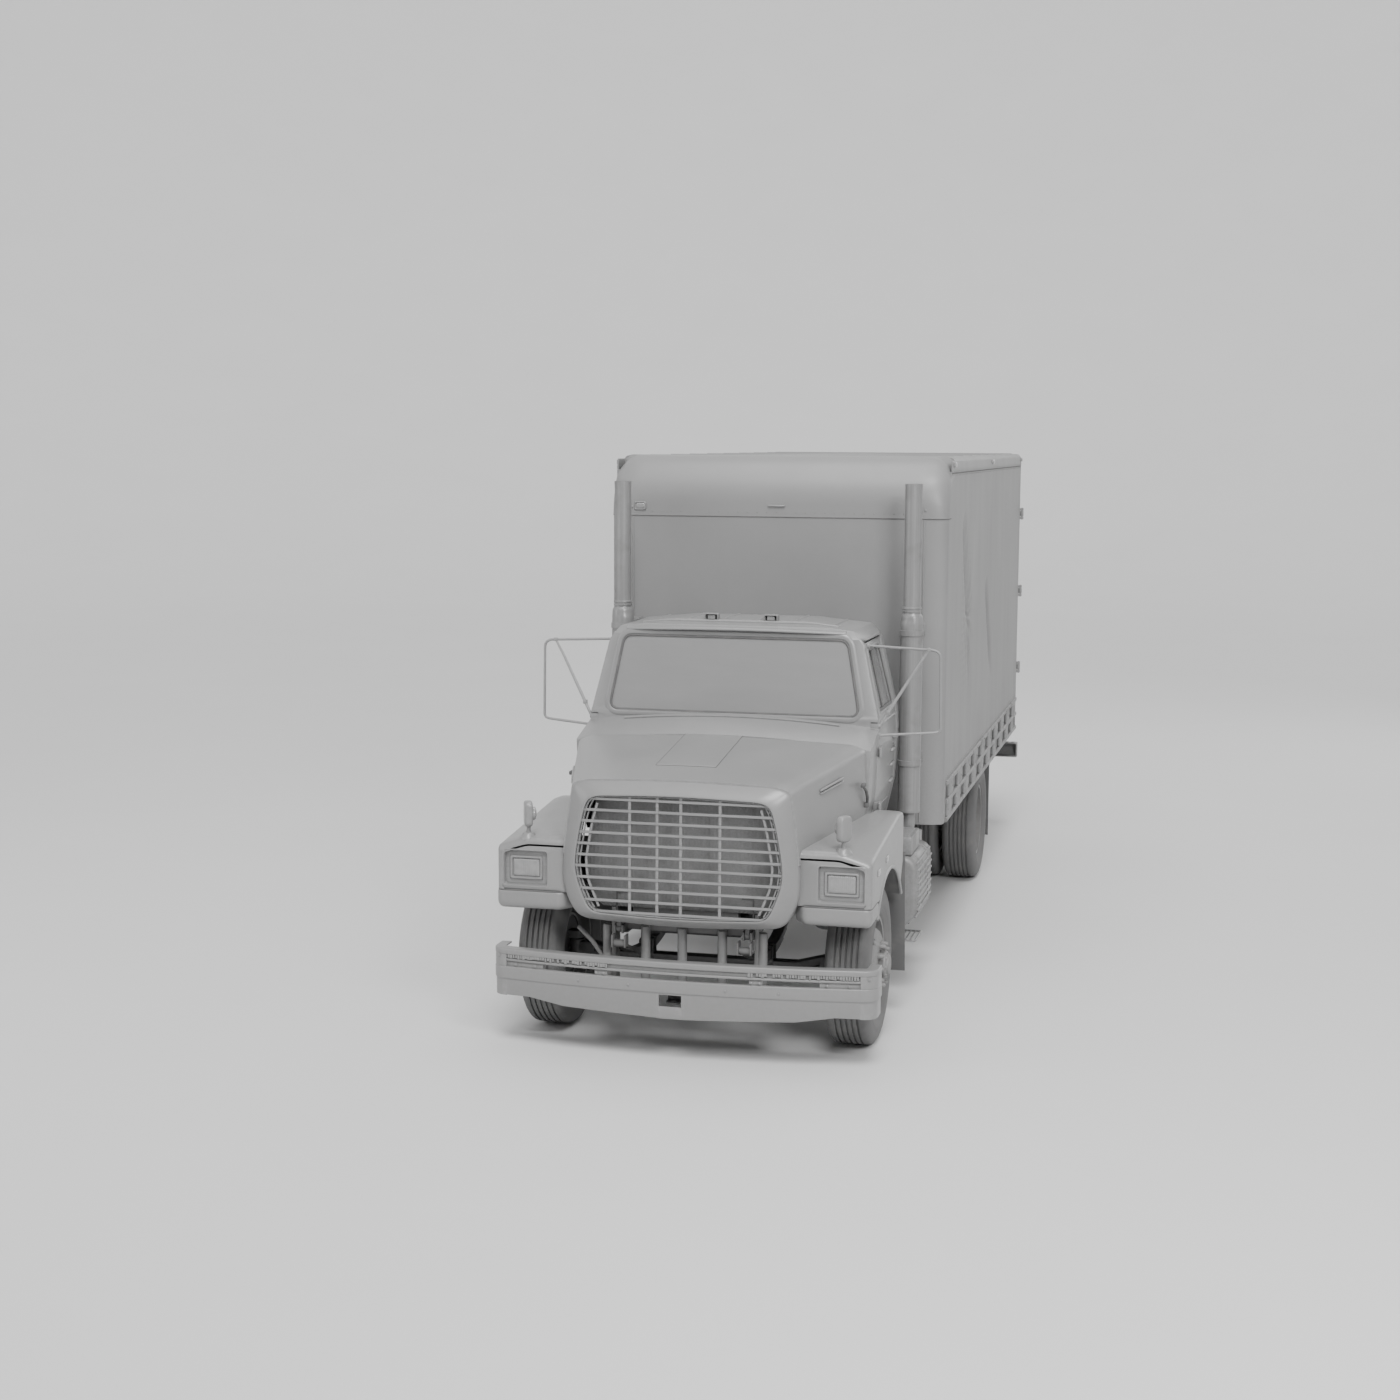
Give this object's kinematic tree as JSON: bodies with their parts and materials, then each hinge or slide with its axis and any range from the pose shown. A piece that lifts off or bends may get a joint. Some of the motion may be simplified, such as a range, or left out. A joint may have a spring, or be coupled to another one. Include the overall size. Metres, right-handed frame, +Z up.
{
  "type": "conventional cab box truck",
  "caption": "Two-axle box truck with a tilting hood and fenders, opening cab and rear cargo doors, steered front wheels and twin rear wheels.",
  "frame": {"origin": "on the ground, under the middle of the truck's overall box", "axes": "+Z up, -Y towards the front bumper, +X towards the driver's (left) side"},
  "size_m": [2.714, 8.3, 3.62],
  "materials": {
    "body_paint": "satin grey paint",
    "box_skin": "satin grey sheet",
    "chassis_paint": "matte dark grey paint",
    "cast_metal": "matte grey",
    "tank_metal": "dull grey",
    "stack_metal": "satin",
    "rail_metal": "satin",
    "grille_metal": "satin",
    "mirror_tube": "satin grey",
    "rim_steel": "satin grey",
    "lamp_lens": "ribbed, frosted",
    "glass": "smoky",
    "cab_plastic": "matte",
    "seat_cloth": "woven",
    "floor_wood": "worn planks",
    "flap_rubber": "matte",
    "tyre": "matte"
  },
  "bodies": {
    "chassis": {"frame": "chassis_paint", "front_bumper": "body_paint", "engine": "cast_metal", "radiator": "cast_metal", "driveline": "cast_metal", "front_axle": "cast_metal", "rear_axle": "cast_metal", "leaf_springs": "chassis_paint", "cab": "body_paint", "cab_glass": "glass", "dashboard": "cab_plastic", "seats": "seat_cloth", "fuel_tanks": "tank_metal", "exhaust_stacks": "stack_metal", "body_floor": "floor_wood", "body_front_wall": "box_skin", "body_left_wall": "box_skin", "body_right_wall": "box_skin", "body_roof": "box_skin", "rear_frame": "box_skin", "rub_rails": "rail_metal", "rear_bumper": "chassis_paint", "mud_flaps": "flap_rubber"},
    "hood": {"hood": "body_paint", "grille": "grille_metal", "fenders": "body_paint", "front_lamps": "lamp_lens"},
    "left_door": {"left_door": "body_paint", "left_door_glass": "glass", "left_mirror_frame": "mirror_tube"},
    "right_door": {"right_door": "body_paint", "right_door_glass": "glass", "right_mirror_frame": "mirror_tube"},
    "left_cargo_door": {"left_cargo_door": "box_skin"},
    "right_cargo_door": {"right_cargo_door": "box_skin"},
    "left_knuckle": {"left_knuckle": "cast_metal"},
    "right_knuckle": {"right_knuckle": "cast_metal"},
    "tie_rod": {"tie_rod": "cast_metal"},
    "steering_wheel": {"steering_wheel": "cab_plastic"},
    "front_left_wheel": {"front_left_tyre": "tyre", "front_left_rim": "rim_steel"},
    "front_right_wheel": {"front_right_tyre": "tyre", "front_right_rim": "rim_steel"},
    "rear_left_wheels": {"rear_left_tyres": "tyre", "rear_left_rims": "rim_steel"},
    "rear_right_wheels": {"rear_right_tyres": "tyre", "rear_right_rims": "rim_steel"}
  },
  "joints": [
    {"name": "hood_tilt", "type": "hinge", "parent": "chassis", "child": "hood", "pos_m": [0, -3.98, 0.78], "axis": [1, 0, 0], "range_deg": [0, 60]},
    {"name": "left_door_swing", "type": "hinge", "parent": "chassis", "child": "left_door", "pos_m": [0.985, -2.718, 1.7], "axis": [0, 0, -1], "range_deg": [0, 70]},
    {"name": "right_door_swing", "type": "hinge", "parent": "chassis", "child": "right_door", "pos_m": [-0.985, -2.718, 1.7], "axis": [0, 0, 1], "range_deg": [0, 70]},
    {"name": "left_cargo_door_swing", "type": "hinge", "parent": "chassis", "child": "left_cargo_door", "pos_m": [1.235, 4.095, 2.3], "axis": [0, 0, -1], "range_deg": [0, 265]},
    {"name": "right_cargo_door_swing", "type": "hinge", "parent": "chassis", "child": "right_cargo_door", "pos_m": [-1.235, 4.095, 2.3], "axis": [0, 0, 1], "range_deg": [0, 265]},
    {"name": "left_steer", "type": "hinge", "parent": "chassis", "child": "left_knuckle", "pos_m": [0.86, -3.36, 0.5], "axis": [0, 0, 1], "range_deg": [-35, 35]},
    {"name": "right_steer", "type": "hinge", "parent": "chassis", "child": "right_knuckle", "pos_m": [-0.86, -3.36, 0.5], "axis": [0, 0, 1], "range_deg": [-35, 35]},
    {"name": "tie_rod_end", "type": "hinge", "parent": "left_knuckle", "child": "tie_rod", "pos_m": [0.86, -3.18, 0.42], "axis": [0, 0, 1], "range_deg": [-35, 35]},
    {"name": "steering_wheel_turn", "type": "hinge", "parent": "chassis", "child": "steering_wheel", "pos_m": [0.45, -2.44, 1.84], "axis": [0, 0.7071, 0.7071], "range_deg": [-630, 630]},
    {"name": "front_left_spin", "type": "hinge", "parent": "left_knuckle", "child": "front_left_wheel", "pos_m": [0.97, -3.36, 0.5], "axis": [1, 0, 0], "continuous": true},
    {"name": "front_right_spin", "type": "hinge", "parent": "right_knuckle", "child": "front_right_wheel", "pos_m": [-0.97, -3.36, 0.5], "axis": [1, 0, 0], "continuous": true},
    {"name": "rear_left_spin", "type": "hinge", "parent": "chassis", "child": "rear_left_wheels", "pos_m": [0.8425, 1.93, 0.5], "axis": [1, 0, 0], "continuous": true},
    {"name": "rear_right_spin", "type": "hinge", "parent": "chassis", "child": "rear_right_wheels", "pos_m": [-0.8425, 1.93, 0.5], "axis": [1, 0, 0], "continuous": true}
  ],
  "couplings": [
    {"joint": "right_steer", "follows": "left_steer", "ratio": 1},
    {"joint": "tie_rod_end", "follows": "left_steer", "ratio": -1},
    {"joint": "steering_wheel_turn", "follows": "left_steer", "ratio": 18}
  ]
}
